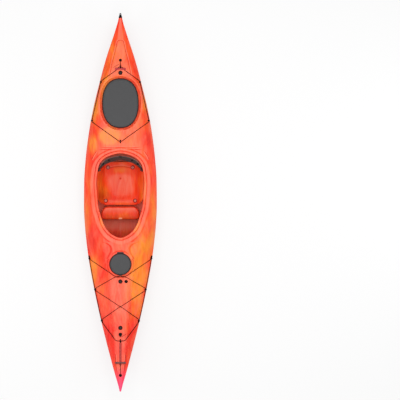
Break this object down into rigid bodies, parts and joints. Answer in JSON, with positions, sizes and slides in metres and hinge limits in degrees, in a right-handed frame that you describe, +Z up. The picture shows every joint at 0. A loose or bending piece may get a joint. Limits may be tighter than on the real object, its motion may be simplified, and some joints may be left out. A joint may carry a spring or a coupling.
{
  "type": "sea kayak",
  "caption": "Sit-in day-touring sea kayak with cockpit, seat, hinged backrest, sliding foot pegs, lift-off hatch covers, carry toggles and deck lines.",
  "frame": {"origin": "centre of the bounding box's bottom face, on the keel strip's level under the middle of the kayak", "axes": "+X to the kayak's side with the round deck button, +Y towards the stern, +Z up"},
  "size_m": [0.729, 3.785, 0.41],
  "materials": {
    "marbled_polyethylene": "marbled red, orange and yellow, satin rotomoulded plastic",
    "hatch_rubber": "matt grey rubber",
    "black_nylon": "matt black moulded plastic",
    "closed_cell_foam": "matt grey closed-cell foam",
    "pale_rubber": "matt pale salmon rubber",
    "padding": "dark padded fabric",
    "bolt_steel": "stainless steel",
    "rail_aluminium": "satin extruded aluminium",
    "deck_line": "dark braided cord",
    "bungee": "dark elastic cord with a braided sheath",
    "bow_handle": "matt moulded plastic, grey-brown",
    "stern_handle": "matt moulded plastic, dull red"
  },
  "bodies": {
    "hull": {"hull": "marbled_polyethylene", "bow_bulkhead": "closed_cell_foam", "stern_bulkhead": "closed_cell_foam", "front_hatch_tub": "black_nylon", "seat": "marbled_polyethylene", "seat_bolt_rear_left": "black_nylon", "seat_bolt_rear_right": "black_nylon", "seat_bolt_front_left": "black_nylon", "seat_bolt_front_right": "black_nylon", "leg_rest": "marbled_polyethylene", "leg_rest_tab": "pale_rubber", "backrest_pivot_left": "bolt_steel", "backrest_pivot_right": "bolt_steel", "foot_rail_right": "rail_aluminium", "foot_rail_left": "rail_aluminium", "fore_line_guide_right_1": "black_nylon", "fore_line_guide_right_2": "black_nylon", "fore_line_guide_right_3": "black_nylon", "fore_line_guide_left_1": "black_nylon", "fore_line_guide_left_2": "black_nylon", "fore_line_guide_left_3": "black_nylon", "aft_line_guide_right_1": "black_nylon", "aft_line_guide_right_2": "black_nylon", "aft_line_guide_left_1": "black_nylon", "aft_line_guide_left_2": "black_nylon", "bow_pad_eye": "black_nylon", "aft_pad_eye": "black_nylon", "stern_pad_eye": "black_nylon", "bow_cord_anchor": "black_nylon", "stern_cord_anchor": "black_nylon", "bow_plug_seat": "black_nylon", "fore_plug_seat": "black_nylon", "stern_plug_seat": "black_nylon", "deck_button": "black_nylon", "foredeck_knob": "black_nylon", "fore_deck_line": "deck_line", "aft_deck_line": "deck_line", "fore_bungee_left": "bungee", "fore_bungee_right": "bungee", "bow_toggle_keeper": "bungee", "stern_fitting": "black_nylon"},
    "rear_hatch_cover": {"rear_hatch_cover": "hatch_rubber"},
    "front_hatch_cover": {"front_hatch_cover": "hatch_rubber"},
    "backrest": {"backrest": "padding"},
    "foot_peg_right": {"foot_peg_right": "black_nylon"},
    "foot_peg_left": {"foot_peg_left": "black_nylon"},
    "bow_plug": {"bow_plug": "black_nylon"},
    "fore_plug": {"fore_plug": "black_nylon"},
    "stern_plug": {"stern_plug": "black_nylon"},
    "bow_toggle": {"bow_toggle": "bow_handle", "bow_toggle_cord": "deck_line"},
    "stern_toggle": {"stern_toggle": "stern_handle", "stern_toggle_cord": "deck_line"}
  },
  "joints": [
    {"name": "rear_hatch_cover_lift", "type": "slide", "parent": "hull", "child": "rear_hatch_cover", "axis": [0, 0, 1], "range_m": [0, 0.08]},
    {"name": "front_hatch_cover_lift", "type": "slide", "parent": "hull", "child": "front_hatch_cover", "axis": [0, 0, 1], "range_m": [0, 0.08]},
    {"name": "backrest_tilt", "type": "hinge", "parent": "hull", "child": "backrest", "pos_m": [0, 0.321, 0.311], "axis": [1, 0, 0], "range_deg": [-8, 95]},
    {"name": "foot_peg_right_slide", "type": "slide", "parent": "hull", "child": "foot_peg_right", "axis": [0.166, 0.9861, 0], "range_m": [-0.14, 0.075]},
    {"name": "foot_peg_left_slide", "type": "slide", "parent": "hull", "child": "foot_peg_left", "axis": [-0.166, 0.9861, 0], "range_m": [-0.14, 0.075]},
    {"name": "bow_plug_lift", "type": "slide", "parent": "hull", "child": "bow_plug", "axis": [0, 0.01, 0.9999], "range_m": [0, 0.03]},
    {"name": "fore_plug_lift", "type": "slide", "parent": "hull", "child": "fore_plug", "axis": [0, 0.004, 1], "range_m": [0, 0.03]},
    {"name": "stern_plug_lift", "type": "slide", "parent": "hull", "child": "stern_plug", "axis": [0, 0.028, 0.9996], "range_m": [0, 0.03]},
    {"name": "bow_toggle_lift", "type": "hinge", "parent": "hull", "child": "bow_toggle", "pos_m": [0, -1.7305, 0.3886], "axis": [1, 0, 0], "range_deg": [0, 100]},
    {"name": "stern_toggle_lift", "type": "hinge", "parent": "hull", "child": "stern_toggle", "pos_m": [0, 1.4215, 0.324], "axis": [-1, 0, 0], "range_deg": [0, 100]}
  ]
}
